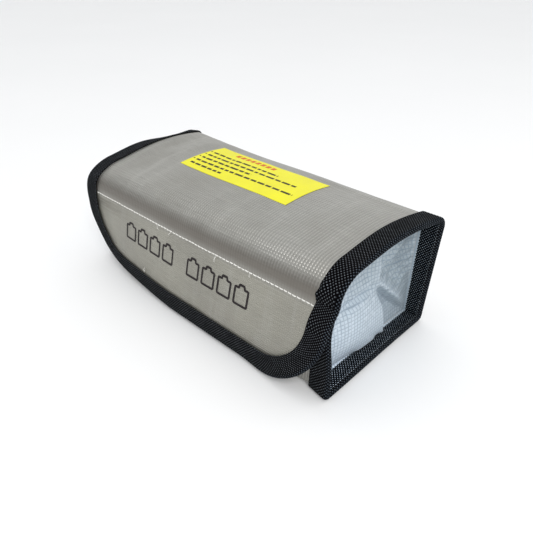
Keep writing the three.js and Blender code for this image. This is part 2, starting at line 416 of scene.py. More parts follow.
class Surface:
    """A Principled material that is built up node by node."""

    def __init__(self, name, **constants):
        self.material = bpy.data.materials.new(name)
        self.material.use_nodes = True
        self.tree = self.material.node_tree
        self.shader = self.tree.nodes["Principled BSDF"]
        for socket, value in constants.items():
            self.shader.inputs[socket.replace("_", " ")].default_value = value

    def node(self, kind, inputs=(), **settings):
        return add_node(self.tree, kind, inputs, **settings)

    def math(self, operation, a, b=0.0, c=0.0):
        return self.node("Math", {0: a, 1: b, 2: c}, operation=operation).outputs[0]

    def times(self, a, b):
        return self.math("MULTIPLY", a, b)

    def scaled(self, value, factor, shift):
        return self.math("MULTIPLY_ADD", value, factor, shift)

    def apart(self, value, centre):
        return self.math("ABSOLUTE", self.math("SUBTRACT", value, centre))

    def weave(self):
        """The cloth's own coordinates in millimetres, and its third value, which marks places."""
        read = self.node("Attribute", attribute_name="weave")
        parts = self.node("SeparateXYZ", {0: read.outputs["Vector"]})
        return read.outputs["Vector"], parts.outputs[0], parts.outputs[1], parts.outputs[2]

    def wave(self, value, pitch, shift=0.0):
        """0 to 1 and back, once every pitch."""
        turned = self.math("SINE", self.math("MULTIPLY_ADD", value, TURN / pitch, shift))
        return self.math("MULTIPLY_ADD", turned, 0.5, 0.5)

    def noise(self, vector, scale, detail=3.0, roughness=0.55, stretch=(1, 1, 1)):
        scaled = self.node("Mapping", {"Vector": vector, "Scale": stretch})
        inputs = {"Vector": scaled.outputs[0], "Scale": scale, "Detail": detail}
        inputs["Roughness"] = roughness
        return self.node("TexNoise", inputs).outputs[0]

    def mix(self, share, a, b):
        return self.node("Mix", {0: share, 6: a, 7: b}, data_type="RGBA").outputs[2]

    def level(self, value, low, high, to_low, to_high):
        inputs = {0: value, 1: low, 2: high, 3: to_low, 4: to_high}
        return self.node("MapRange", inputs).outputs[0]

    def finish(self, color, roughness=None, height=None, depth=0.0, strength=1.0):
        relief = None
        if height is not None:
            inputs = {"Height": height, "Distance": depth, "Strength": strength}
            relief = self.node("Bump", inputs).outputs[0]
        for socket, value in (("Base Color", color), ("Roughness", roughness), ("Normal", relief)):
            if value is not None:
                self.tree.links.new(value, self.shader.inputs[socket])
        return self.material


def rgb(red, green, blue):
    """A colour given as 0 to 255 display values, as linear light."""
    linear = []
    for value in (red, green, blue):
        c = value / 255
        linear.append(c / 12.92 if c <= 0.04045 else ((c + 0.055) / 1.055) ** 2.4)
    return (*linear, 1)


def silver_cloth():
    """Aluminium-coated glass cloth: ribs across the bag, broken into short strokes left bright by
    painted shade between them. The flap's cloth is finer, painted lighter and warmer for its light,
    with a painted dark band on the fold over its seam and painted shade below the seam at the left
    end."""
    s = Surface("silver_cloth", Metallic=0.8)
    vector, along, across, _ = s.weave()
    on_flap = s.level(across, GIRTH + 3, GIRTH + 6, 0, 1)
    rib = s.wave(along, RIB)
    row = s.wave(across, 1.3, 0.8)
    strokes = s.times(rib, s.scaled(row, 0.6, 0.4))
    fine = s.times(s.wave(along, 1.0), s.wave(across, 1.0))
    streaks = s.noise(vector, 0.9, 4, 0.65, (0.07, 1, 1))
    bands = s.noise(vector, 0.16, 3, 0.6, (1, 0.12, 1))
    cloud = s.noise(vector, 0.03, 2)
    woven = s.node("Mix", {0: on_flap, 2: strokes, 3: fine}, data_type="FLOAT").outputs[0]
    woven = s.times(woven, s.level(s.apart(across, GIRTH), 2, 8, 0.45, 1))
    brushed = s.level(streaks, 0.3, 0.7, 0, 1)
    shade = s.mix(brushed, rgb(158, 157, 152), rgb(180, 179, 174))
    # The flap is the same cloth as the top; its copy is painted lighter and warmer for the light it
    # takes.
    flap_painted_light = s.mix(brushed, rgb(162, 160, 149), rgb(183, 181, 170))
    shade = s.mix(on_flap, shade, flap_painted_light)
    shade = s.mix(s.level(cloud, 0.35, 0.7, 0, 0.5), shade, rgb(150, 148, 141))
    shade = s.mix(s.level(bands, 0.52, 0.75, 0, 0.3), shade, rgb(196, 195, 190))
    # Painted shade in the grooves between the ribs and strokes, which leaves the strokes bright.
    shade = s.mix(s.level(woven, 0, 0.8, 0.34, 0), shade, rgb(112, 110, 104))
    # Painted shade: a dark brownish band on the fold above the flap's seam, standing in for the
    # dark reflection there.
    away = s.apart(across, GIRTH - 1.2)
    shade = s.mix(s.level(away, 1.4, 6.2, 0.8, 0), shade, rgb(106, 101, 94))
    # Painted shade below the seam at the left end of the flap, broken up by the streaks.
    below = s.apart(across, GIRTH + 8.5)
    painted_seam_shade = s.times(s.level(below, 1.5, 5.5, 1, 0), s.level(along, -88, -36, 1, 0))
    painted_seam_shade = s.times(painted_seam_shade, s.level(streaks, 0.4, 0.62, 0.85, 0.15))
    shade = s.mix(painted_seam_shade, shade, rgb(112, 109, 99))
    rough = s.level(streaks, 0.3, 0.7, 0.33, 0.45)
    height = s.scaled(streaks, 0.3, woven)
    return s.finish(shade, rough, height, 0.00021, 0.8)


def binding_tape():
    """Coarse black woven tape, with painted highlights on its nub tips, painted dimmer on the inner
    leaf as shade, and a painted bluish sheen along the fold. Its third weave value is 1 on the fold
    and -1 on the inner leaf.
    """
    s = Surface("binding_tape", Specular_IOR_Level=0.03)
    vector, along, across, mark = s.weave()
    a, b = (s.math("COSINE", s.times(value, TURN / NUB)) for value in (along, across))
    woven = s.scaled(s.times(a, b), 0.5, 0.5)
    inside = s.level(mark, -0.9, -0.1, 1, 0)
    fibre = s.noise(vector, 2.5, 4)
    patch = s.noise(vector, 0.11, 3)
    share = s.times(s.level(woven, 0.66, 1, 0, 1), s.level(fibre, 0.3, 0.7, 0.1, 1))
    share = s.times(share, s.level(patch, 0.3, 0.7, 0.65, 1))
    # Painted highlights on the nub tips; the inner leaf's copy is painted darker, as painted shade
    # inside the end's recess.
    dark = s.mix(inside, rgb(2, 2, 3), rgb(3, 5, 7))
    light = s.mix(inside, rgb(134, 140, 146), rgb(36, 44, 54))
    shade = s.mix(share, dark, light)
    # Painted sheen: a bluish highlight on the nubs along the fold.
    fold = s.times(s.level(mark, 0.2, 1, 0, 0.5), s.level(woven, 0.5, 0.95, 0, 1))
    shade = s.mix(fold, shade, rgb(62, 74, 86))
    rough = s.level(share, 0, 1, 0.7, 0.42)
    height = s.scaled(fibre, 0.5, woven)
    return s.finish(shade, rough, height, 0.00016, 0.7)


def end_cloth():
    """Pale coated scrim: a fine grid of threads under a glossy film, with painted light from
    lighter and bluer at the front and bottom to greyer at the top and back.
    Its third weave value is the height of the creases, which get painted shade in the valleys and
    painted highlights on the ridges."""
    s = Surface("end_cloth", Metallic=0.2)
    vector, along, across, crease = s.weave()
    lines = [s.level(s.wave(value, 1.8), 0.7, 1, 0, 1) for value in (along, across)]
    line = s.math("MAXIMUM", *lines)
    cloud = s.noise(vector, 0.07, 4)
    # Painted light: lighter and bluer towards the front and bottom, greyer at the top and back.
    place = s.scaled(along, 0.9, across)
    place = s.scaled(s.math("SUBTRACT", cloud, 0.5), 30.0, place)
    shade = s.mix(s.level(place, -22, 45, 0, 1), rgb(210, 224, 238), rgb(165, 177, 184))
    # Painted shade in the crease valleys and painted highlights on the ridges.
    shade = s.mix(s.level(crease, -3.5, -0.5, 0.2, 0), shade, rgb(98, 112, 122))
    shade = s.mix(s.level(crease, 1.0, 4.0, 0, 0.5), shade, rgb(204, 216, 226))
    shade = s.mix(s.times(line, 0.5), shade, rgb(104, 124, 144))
    grain = s.noise(vector, 1.2, 3)
    steps = s.node("VectorMath", {0: vector, 1: (1.8, 1.8, 1.8)}, operation="SNAP").outputs[0]
    cells = s.noise(steps, 3.1)
    glint = s.times(s.level(cells, 0.54, 0.7, 0, 0.42), s.level(place, 0, 45, 1, 0.2))
    shade = s.mix(glint, shade, rgb(230, 240, 250))
    height = s.scaled(grain, 0.5, s.math("SUBTRACT", 1.0, line))
    return s.finish(shade, s.level(cells, 0.45, 0.65, 0.5, 0.34), height, 0.00014, 0.8)


def foil_lining():
    s = Surface("foil_lining", Roughness=0.4, Metallic=0.6)
    vector, along, across, _ = s.weave()
    crumple = s.noise(vector, 0.12, 5, 0.6)
    grid = s.math("MAXIMUM", s.wave(along, 1.2), s.wave(across, 1.2))
    shade = s.mix(crumple, rgb(150, 153, 156), rgb(196, 198, 200))
    height = s.scaled(grid, 0.2, crumple)
    return s.finish(shade, s.level(crumple, 0.3, 0.7, 0.34, 0.5), height, 0.0004, 0.5)


def pile(name, dark, light, scale):
    s = Surface(name, Roughness=0.9)
    vector = s.weave()[0]
    fuzz = s.noise(vector, scale, 5, 0.7)
    shade = s.mix(s.level(fuzz, 0.35, 0.75, 0, 1), dark, light)
    return s.finish(shade, s.level(fuzz, 0.3, 0.7, 0.95, 0.7), fuzz, 0.0006, 0.8)


def label_film():
    s = Surface("label", Specular_IOR_Level=0.25)
    vector, along, _, _ = s.weave()
    cloud = s.noise(vector, 0.08, 3)
    shade = s.mix(s.level(cloud, 0.3, 0.7, 0, 1), rgb(230, 225, 34), rgb(222, 216, 43))
    fine = s.noise(vector, 1.5, 3)
    height = s.scaled(s.wave(along, RIB), 0.6, fine)
    return s.finish(shade, s.level(fine, 0.3, 0.7, 0.42, 0.56), height, 0.00006, 0.6)


def ink(name, color):
    s = Surface(name, Specular_IOR_Level=0.2)
    vector = s.weave()[0]
    fine = s.noise(vector, 2.0, 4)
    shade = s.mix(s.level(fine, 0.5, 0.85, 0, 0.3), color, rgb(120, 112, 105))
    return s.finish(shade, s.level(fine, 0.3, 0.7, 0.45, 0.6), fine, 0.00003, 0.5)


def white_thread():
    s = Surface("thread", Roughness=0.6)
    _, along, across, _ = s.weave()
    twist = s.wave(s.math("ADD", along, across), 0.45)
    shade = s.mix(twist, rgb(250, 249, 245), rgb(222, 220, 214))
    return s.finish(shade, s.level(twist, 0, 1, 0.55, 0.7), twist, 0.0001, 0.6)


def table_top():
    s = Surface("table", Roughness=0.6)
    place = s.node("NewGeometry").outputs["Position"]
    shade = s.mix(s.noise(place, 4.0), (0.88, 0.88, 0.88, 1), (0.91, 0.91, 0.91, 1))
    return s.finish(shade)


SILVER = silver_cloth()
BINDING = binding_tape()
END_CLOTH = end_cloth()
FOIL = foil_lining()
HOOK = pile("hook_strip", rgb(12, 12, 13), rgb(52, 53, 55), 1.6)
LOOP = pile("loop_strip", rgb(16, 16, 17), rgb(46, 47, 50), 0.9)
LABEL = label_film()
INK = ink("gauge_ink", rgb(28, 22, 24))
LINE_INK = ink("line_ink", rgb(52, 48, 20))
HEADING_INK = ink("heading_ink", rgb(206, 104, 30))
THREAD = white_thread()


# ---- Cloth of the body, the lid and their linings ----

def hinge_blend(piece):
    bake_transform(piece)


def body_sheet(name, material, half, off, columns, rows, ribs):
    """Front panel, bottom and back, as one closed sheet."""
    first = front_station(MOUTH_LOW)
    x = np.linspace(-half, half, columns)[:, None]
    s = np.linspace(first, LID_START, rows)[None, :]
    hold = ramp(END - LEAF - np.abs(x), -2, 14) * ramp(s, first, first + 12)
    hold = hold * ramp(LID_START - s, 0, 12)
    slack = hold * (0.4 * noise(x + 300, s, 34, 3) + 0.12 * noise(x + 300, s, 11, 4))
    relief = ribs * np.sin(TURN * x / RIB)
    outer = body_shape(body(x, s, off + CLOTH / 2 + slack + relief))
    inner = body_shape(body(x, s, off - CLOTH / 2 + slack))
    return closed_sheet(name, outer, inner, material, stack(x, s, 0))


def top_relief(x, w):
    """Slack of the top: a dent by the left tape, a soft crease by the back edge, fine waves."""
    y = np.interp(LID_START + w, OUTLINE_S, OUTLINE_P[:, 0])
    free = ramp(END - LEAF - np.abs(x), -4, 10) * ramp(w, 0, 12)
    dent = 0.8 * bell(x, -54, 8) * bell(y, 16, 10) - 1.4 * bell(x, -66, 9) * bell(y, 12, 12)
    crease = 0.4 * bell(y, 29 - 0.06 * (x - 40), 1.5) * ramp(x, 5, 45)
    waves = 0.28 * noise(x + 400, w, 26, 7) + 0.1 * noise(x + 400, w, 9, 8)
    return (dent + crease + waves) * free


def flap_relief(x, drop):
    """Slack of the flap, with a shallow pucker along the seam that crosses it."""
    seam = -0.3 * bell(drop, SEAM_DROP, 0.9) * (1 + 0.4 * noise(x + 100, 0 * x, 5, 13))
    waves = 0.3 * noise(x + 500, drop, 30, 11) + 0.07 * noise(x + 500, drop, 9, 12)
    return seam * ramp(END - LEAF - np.abs(x), 0, 3) + waves * ramp(drop, 2, 12)


def lid_slack(x, w):
    drop = np.maximum(w - LID_TURN, 0)
    on_flap = ramp(drop, 0, 5)
    return top_relief(x, w) * (1 - on_flap) + flap_relief(x, drop) * on_flap


def flap_half(drop, inset):
    """Half width of the flap at a distance below its fold, drawn in from its edge."""
    radius = FLAP_CORNER - inset
    taper = (END - FLAP_HALF) * (1 - smooth(drop / FLAP_TURN))
    deep = np.clip(drop - FLAP_TURN, 0, radius)
    curved = FLAP_HALF - FLAP_CORNER + np.sqrt(np.maximum(radius ** 2 - deep ** 2, 0))
    return np.where(drop > FLAP_TURN, curved, FLAP_HALF + taper - inset)


def lid_rows(inset, on_top=84, on_flap=24):
    """Distances down the lid, closer together where the flap's corners turn."""
    top = np.linspace(0, LID_TURN, on_top)
    straight = np.linspace(0, FLAP_TURN, on_flap)[1:]
    turn = np.linspace(0, math.pi / 2, 2 * on_flap)[1:]
    curved = FLAP_TURN + (FLAP_CORNER - inset) * np.sin(turn)
    return np.concatenate([top, LID_TURN + straight, LID_TURN + curved])[None, :]


def lid_sheet(name, material, edge, off, columns, inset, ribs):
    w = lid_rows(inset)
    drop = np.maximum(w - LID_TURN, 0)
    half = np.minimum(flap_half(drop, inset), edge)
    x = np.linspace(-1, 1, columns)[:, None] * half
    slack = lid_slack(x, w)
    relief = ribs * np.sin(TURN * x / RIB) * (1 - ramp(w - LID_TURN, -9, 2))
    w = w + 0 * x
    outer = soften(lid(x, w, off + CLOTH / 2 + slack + relief))
    inner = soften(lid(x, w, off - CLOTH / 2 + slack))
    return closed_sheet(name, outer, inner, material, stack(x, LID_START + w, 0))


def make_cloth():
    wrap = body_sheet("outer_wrap", SILVER, CLOTH_HALF, 0, 560, 170, 0.04)
    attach(wrap, "bag")
    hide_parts("front_panel", "bottom_panel", "back_panel")

    cover = lid_sheet("lid_and_flap", SILVER, CLOTH_HALF, 0, 860, EDGE_IN, 0.07)
    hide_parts("top_panel", "front_apron", "flap_panel")
    hinge_blend(cover)

    lining = body_sheet("body_lining", FOIL, LINING_HALF, -LINING_IN, 200, 150, 0)
    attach(lining, "bag")
    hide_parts("lining_front", "lining_bottom", "lining_back")

    lid_lining = lid_sheet("lid_lining", FOIL, LINING_HALF, -LINING_IN, 200, LINING_EDGE, 0)
    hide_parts("lining_top", "lining_apron", "flap_lining")
    hinge_blend(lid_lining)
    return wrap, cover, lining, lid_lining


# ---- Binding tape ----

class TapeSection:
    """Points round the section of a folded tape: a is in from the fold, off is across it."""

    def __init__(self, width, half, fine=0.25):
        flat = int((width - half) / fine)
        lead = np.linspace(width, half, flat)
        turn = np.linspace(math.pi / 2, -math.pi / 2, int(math.pi * half / fine))[1:-1]
        ones = np.ones(flat)
        self.a = np.concatenate([lead, half - half * np.cos(turn), lead[::-1]])
        self.off = np.concatenate([half * ones, half * np.sin(turn), -half * ones])
        self.lift_a = np.concatenate([0 * ones, -np.cos(turn), 0 * ones])
        self.lift_off = np.concatenate([ones, np.sin(turn), -ones])
        self.travel = travel(np.stack([self.a, self.off], -1))
        self.mark = np.clip(1.6 - self.a / 1.2, 0, 1) - ramp(self.a, 1.2, 3.2) * (self.off < 0)
        self.shown = len(self.a)
        back = np.linspace(-math.pi / 2, math.pi / 2, 7)
        inner = half - TAPE
        self.a = np.concatenate([self.a, [width], half - inner * np.cos(back), [width]])
        self.off = np.concatenate([self.off, [-inner], inner * np.sin(back), [inner]])
        self.hidden = len(self.a) - self.shown

    def full(self, values):
        return np.concatenate([values, np.zeros(self.hidden)])


def tape_piece(name, edge, length, warp, start=0.0, bunch=None, round_start=False, width=LEAF,
               half=BOUND):
    """Binding tape along an edge: edge(a, t, off) is the point a in from the edge at travel t."""
    section = TapeSection(width, half)
    t = np.linspace(0, length, int(length / 0.25))[:, None]
    along, across = start + t, section.full(section.travel)
    turns = TURN / NUB
    woven = 0.5 + 0.5 * np.cos(turns * along) * np.cos(turns * across)
    height = 0.2 * (woven ** 1.4 - 0.35)
    near_rim = np.minimum(section.travel, section.travel[-1] - section.travel)
    height = height * section.full(ramp(near_rim, -0.3, 0.6))
    if bunch is not None:
        height = height + bunch(t, across) * (section.full(section.mark) < 0.3)
    a = section.a + height * section.full(section.lift_a)
    off = section.off + height * section.full(section.lift_off)
    if round_start:
        closing = np.sqrt(1 - np.clip(1 - t / 1.3, 0, 1) ** 2)
        off = off * closing
        a = a + 1.2 * (1 - closing)
    points = above_table(warp(edge(a, t, off)))
    rows, columns = points.shape[:2]
    cap = tape_cap(section)
    faces = np.concatenate([
        grid_faces(rows, columns, wrap=True),
        cap,
        cap[:, ::-1] + (rows - 1) * columns,
    ])
    points = points.reshape(-1, 3)
    weave = stack(along, across, section.full(section.mark)).reshape(-1, 3)
    return add_mesh(name, points, outward(points, faces), BINDING, weave)


def tape_cap(section):
    """Quads that close one end of a tape, between the shown line and the hidden one."""
    shown = np.arange(section.shown)
    hidden = section.shown + np.arange(section.hidden)[::-1]
    share = np.linspace(0, section.hidden - 1, section.shown)
    match = hidden[np.round(share).astype(int)]
    return np.stack([shown[1:], shown[:-1], match[:-1], match[1:]], -1)


def make_flap_path():
    """The flap's edge as (x, drop): from its fold on the right, round both lower corners."""
    drop = np.arange(0, FLAP_TURN, 0.5)
    side = np.stack([flap_half(drop, 0.0), drop], -1)
    turn = arc((FLAP_HALF - FLAP_CORNER, FLAP_TURN), FLAP_CORNER, 0, math.pi / 2, 0.4)
    half = np.concatenate([side, turn])
    return with_normals(np.concatenate([half, half[::-1] * [-1, 1]]))


PATH_T, PATH_P, PATH_N = make_flap_path()


def flap_edge(a, t, off):
    x, drop = read_path(t, PATH_T, PATH_P)
    nx, nd = read_path(t, PATH_T, PATH_N)
    return flap(x - a * nx, drop - a * nd, off)


def end_edge(side, first):
    return lambda a, t, off: body(side * (END - a), first + t, off)


def make_tapes():
    nodes = ("end_tape_top", "end_tape_back", "end_tape_bottom", "end_tape_front")
    length = GIRTH - TAPE_START
    made = []
    for word, side in (("left", -1), ("right", 1)):
        thick = 2.1 if side > 0 else 0.6
        def bunch(t, p, thick=thick):
            lumps = 0.55 + 0.45 * noise(t + 40, p, 1.9, 31)
            return thick * bell(t, length - 4.0, 4.5) * lumps
        tape = tape_piece(f"end_tape_{word}", end_edge(side, TAPE_START), length,
                          lambda p: soften(press(p)), bunch=bunch, round_start=True)
        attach(tape, "bag")
        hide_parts(*[f"{node}_{word}" for node in nodes])
        made.append(tape)
    edge = tape_piece("flap_tape", flap_edge, PATH_T[-1], soften, start=length)
    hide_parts("flap_binding_left", "flap_binding_bottom", "flap_binding_right")
    hinge_blend(edge)

    mouth = front_station(MOUTH_LOW + 0.8)
    reach = FACE_X - 2
    rim = tape_piece("mouth_tape", lambda a, t, off: body(t - reach, mouth + a, off), 2 * reach,
                     body_shape, width=5.0, half=1.0)
    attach(rim, "bag")
    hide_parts("mouth_binding")
    return made, edge, rim


# ---- End panels ----
# Their creases are lines of known height, and the cloth between them is relaxed as
# a thin skin with a little pressure behind or in front of it.

CELL = 0.5
PANEL_LOW, PANEL_HIGH = 1.6, HEIGHT + 1
PANEL_SIDE = HALF - 1.6

RIGHT_CREASES = [
    [(3.6, 35.4, 2.6), (12, 27.5, 2.9), (20, 20.4, 2.6), (36.5, 3, 0.3)],
    [(5.5, 30, -1), (14.5, 20.4, -3.2), (22, 13.5, -2.7), (30, 6.6, -1)],
    [(4.6, 29, 1.6), (8, 20, 3.6), (10.2, 10, 4.4), (11, 4, 4.2), (11.3, 1, 0.8)],
    [(-8, 4, 3), (4, 4, 3.6)],
    [(13.2, 14, -2), (14.6, 8, -0.6), (15.6, 2, 0.2)],
    [(2, 34.8, 1.6), (-2.5, 33.7, -0.6), (-15.6, 32.1, -0.9), (-24, 31.6, 0.4)],
    [(-2, 36.4, 2.2), (-14, 35.2, 1.8)],
    [(3.6, 35.4, 2.6), (3.9, 42, 2.8), (3, 50, 2.2), (1, 61, 0)],
    [(7.6, 38, -1), (8.5, 46, -1.6), (9.5, 55, -0.8)],
    [(-4, 30.8, 3.2), (-16, 29.4, 3.2)],
    [(-4, 41.5, -0.8), (-10, 46, -0.8)],
    [(12, 36, -1.8), (23.6, 38.4, -3.4), (33, 48, -1.4)],
    [(12, 42, 0.4), (20, 47, 1), (29, 57, 0.3)],
    [(20, 28, -1.4), (30, 30, -2)],
]
RIGHT_PRESSURE = [(-12, 16, 13, 0.0048), (-14, 47, 10, -0.003)]
LEFT_CREASES = [
    [(-4, 30, -1.5), (-20, 14, -0.6), (-36.5, 3, 0)],
    [(-4, 30, -1.5), (14, 22, 1.4), (36.5, 10, 0.2)],
    [(-4, 30, -1.5), (0, 45, -0.6), (6, 61, 0)],
    [(-6, 26, 1), (-10, 12, 1.6), (-14, 1, 0.2)],
]
LEFT_PRESSURE = [(14, 12, 11, 0.004), (-20, 38, 12, -0.005), (20, 44, 10, 0.003)]


def relax_skin(creases, pressure):
    """Heights over the panel's plane, on a grid of CELL spacing from the corner (-HALF, 0)."""
    y = np.arange(-HALF, HALF + CELL, CELL)[:, None]
    z = np.arange(0, HEIGHT + 4, CELL)[None, :]
    inside = (np.abs(y) < PANEL_SIDE) & (z > PANEL_LOW) & (z < PANEL_HIGH)
    height, fixed = np.zeros(inside.shape), ~inside
    for line in creases:
        line = np.array(line)
        length = travel(line[:, :2])
        t = np.arange(0, length[-1], CELL / 2)
        py, pz, ph = read_path(t, length, line)
        i = np.round((py + HALF) / CELL).astype(int)
        j = np.clip(np.round(pz / CELL).astype(int), 0, inside.shape[1] - 1)
        height[i, j], fixed[i, j] = ph, True
    push = sum(power * bell(y, py, size) * bell(z, pz, size) for py, pz, size, power in pressure)
    held = height.copy()
    for _ in range(1400):
        mean = (np.roll(height, 1, 0) + np.roll(height, -1, 0)
                + np.roll(height, 1, 1) + np.roll(height, -1, 1)) / 4
        height = np.where(fixed, held, mean + push)
    for _ in range(3):
        height = (2 * height + np.roll(height, 1, 0) + np.roll(height, -1, 0)) / 4
        height = (2 * height + np.roll(height, 1, 1) + np.roll(height, -1, 1)) / 4
    return height


def read_skin(skin, y, z):
    i, j = (y + HALF) / CELL, z / CELL
    i0 = np.clip(np.floor(i).astype(int), 0, skin.shape[0] - 2)
    j0 = np.clip(np.floor(j).astype(int), 0, skin.shape[1] - 2)
    return between(skin, i0, j0, i - i0, j - j0)


def end_sheet(name, side, skin, material, plane, off, rim_to):
    """A creased face across the end, with a rim that turns along the wrap to rim_to."""
    s = np.linspace(0, GIRTH, 620, endpoint=False)[None, :]
    share = np.concatenate([np.linspace(0.004, 0.96, 84), np.linspace(0.966, 1, 8)])[:, None]
    edge = body(0, s, off)
    y = share * edge[..., 1]
    z = HEIGHT / 2 + share * (edge[..., 2] - HEIGHT / 2)
    hold = ramp(1 - share, 0, 0.07)
    wrinkle = 0.8 * np.sin(TURN * (z - 0.35 * y + 2.4 * noise(y + 60, z, 9, 21)) / 4.6)
    wrinkle = wrinkle * bell(y, 22, 12) * bell(z, 36, 14) + 0.16 * noise(y + 90, z, 6, 22)
    turned = np.clip((share - 0.96) / 0.04, 0, 1)
    foot = 1.8 * (1 - np.clip(z / HEIGHT, 0, 1))
    crease = (read_skin(skin, y, z) + wrinkle) * hold
    x = plane + foot + crease
    x = x + 1.2 * (1 - np.sqrt(1 - turned ** 2))
    face = stack(side * x, y, z)
    share = np.linspace(0, 1, 14)[1:, None]
    taped = ramp(s, TAPE_START, front_station(TAPE_TOP - 2.5))
    rim_end = plane + foot[-1:] + 1.4 + (rim_to - plane - foot[-1:] - 1.4) * taped
    rim = stack(side * (x[-1:] * (1 - share) + rim_end * share), edge[..., 1], edge[..., 2])
    nominal = np.concatenate([face, rim])
    outer = soften(press(nominal))
    along = np.gradient(outer, axis=0)
    around = np.roll(outer, -1, axis=1) - np.roll(outer, 1, axis=1)
    normal = np.cross(along, around)
    normal /= np.maximum(np.linalg.norm(normal, axis=-1, keepdims=True), 1e-9)
    normal *= np.sign((normal[:60, :, 0] * side).mean())
    inner = outer - 0.4 * normal
    rows, columns = outer.shape[:2]
    size = rows * columns
    first, last = np.arange(columns), (rows - 1) * columns + np.arange(columns)
    def close(ring):
        after = np.roll(ring, -1)
        return np.stack([ring, after, after + size, ring + size], -1)
    faces = np.concatenate([
        grid_faces(rows, columns, wrap=True),
        grid_faces(rows, columns, wrap=True)[:, ::-1] + size,
        close(first)[:, ::-1],
        close(last),
    ])
    crease = np.concatenate([crease, 0 * rim[..., 0]])
    weave = stack(nominal[..., 1], nominal[..., 2], crease)
    piece = two_faced(name, outer, inner, faces, material, weave)
    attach(piece, "bag")
    return piece


def make_ends():
    made = []
    for word, side, creases, pressure in (("left", -1, LEFT_CREASES, LEFT_PRESSURE),
                                          ("right", 1, RIGHT_CREASES, RIGHT_PRESSURE)):
        skin = relax_skin(creases, pressure)
        panel = end_sheet(f"end_cloth_{word}", side, skin, END_CLOTH, FACE_X, -RIM_IN, RIM_END)
        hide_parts(f"end_panel_{word}")
        lining = end_sheet(f"end_foil_{word}", side, skin, FOIL, FACE_X - 1.1, -FOIL_RIM_IN,
                           FACE_X + 0.4)
        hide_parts(f"end_lining_{word}")
        made += [panel, lining]
    return made


# ---- Strips, label, printed marks and thread ----

def make_strips():
    """The hook strip inside the flap, and the loop strip on the front panel behind it."""
    x = np.linspace(-STRIP_HALF, STRIP_HALF, 340)[:, None]
    z = np.linspace(STRIP_TOP, STRIP_LOW, 36)[None, :]
    edge = ramp(np.minimum(STRIP_HALF - np.abs(x), 0.5 * (STRIP_TOP - STRIP_LOW)
                           - np.abs(z - 0.5 * (STRIP_TOP + STRIP_LOW))), 0, 1.2)
    hooks = 0.25 * noise(x * 2.1 + 200, z * 2.1, 1, 41)
    drop = FOLD_Z - z + 0 * x
    face = -LINING_IN - CLOTH / 2
    waves = lid_slack(x, LID_TURN + drop)
    under = soften(flap(x, drop, face + waves))
    over = soften(flap(x, drop, face + waves - 0.5 - (HOOK_DEEP - 0.5 + hooks) * edge))
    hook = closed_sheet("hook_strip_pile", under, over, HOOK, stack(x, z, 0))
    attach(hook, "flap")
    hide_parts("hook_strip")

    s = front_station(STRIP_TOP) + STRIP_TOP - z + 0 * x
    loops = 0.25 * noise(x * 1.3 + 200, z * 1.3, 1, 42) + 0.12 * noise(x * 4 + 200, z * 4, 1, 43)
    under = body_shape(body(x, s, CLOTH / 2))
    over = body_shape(body(x, s, CLOTH / 2 + 0.5 + (LOOP_DEEP - 0.7 + loops) * edge))
    loop = closed_sheet("loop_strip_pile", over, under, LOOP, stack(x, z, 0))
    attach(loop, "bag")
    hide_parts("loop_strip")
    return hook, loop


LABEL_X, LABEL_W = (-40.3, 38.4), (17.6, 48.9)


def on_lid(x, w, off):
    return soften(lid(x, w, CLOTH / 2 + lid_slack(x, w) + off))


def make_label():
    x = np.linspace(*LABEL_X, 160)[:, None]
    w = np.linspace(*LABEL_W, 66)[None, :] + 0 * x
    film = closed_sheet("label_film", on_lid(x, w, 0.12), on_lid(x, w, 0.02), LABEL, stack(x, w, 0))
    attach(film, "bag")
    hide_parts("label_patch")
    return film


def bars(name, spans, material):
    """Flat printed bars. Each span is (x from, x to, w from, w to) on the lid."""
    printed = Gathered()
    for x0, x1, w0, w1 in spans:
        count = max(3, int((x1 - x0) / 1.2))
        x = np.linspace(x0, x1, count)[:, None]
        w = np.linspace(w0, w1, 3)[None, :] + 0 * x
        printed.add(on_lid(x, w, 0.16), stack(x, w, 0), grid_faces(count, 3)[:, ::-1])
    piece = printed.mesh(name, material)
    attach(piece, "bag")
    return piece


def make_label_lines():
    """Plain bars that stand for the label's heading and lines of small print."""
    rng = np.random.default_rng(52)
    top = LABEL_W[0]
    left = LABEL_X[0]
    lines = []
    for row, length in enumerate((50.0, 66.0, 39.0, 71.0, 25.0)):
        w = top + 9.4 + 4.1 * row
        if row < 4:
            lines.append((left + 1.2, left + 2.2, w + 0.2, w + 1.2))
        x = left + 4.0
        while x < left + 4.0 + length:
            word = min(float(rng.uniform(2.0, 6.0)), left + 4.0 + length - x)
            lines.append((x, x + word, w, w + 1.5))
            x += word + 1.0
    heading = [(x, x + 2.6, top + 2.6, top + 5.6) for x in left + 17.0 + 3.8 * np.arange(8)]
    return [bars("label_lines", lines, LINE_INK), bars("label_heading", heading, HEADING_INK)]


def rounded(corners, radius):
    """A closed path round the corners of a polygon, each turned by a small arc."""
    corners = np.array(corners, float)
    before, after = np.roll(corners, 1, 0), np.roll(corners, -1, 0)
    path = []
    for point, last, following in zip(corners, before, after):
        into = (point - last) / np.linalg.norm(point - last)
        out = (following - point) / np.linalg.norm(following - point)
        share = np.linspace(0, 1, 7)[:, None]
        a, b = point - into * radius, point + out * radius
        path.append((1 - share) ** 2 * a + 2 * share * (1 - share) * point + share ** 2 * b)
    return np.concatenate(path)


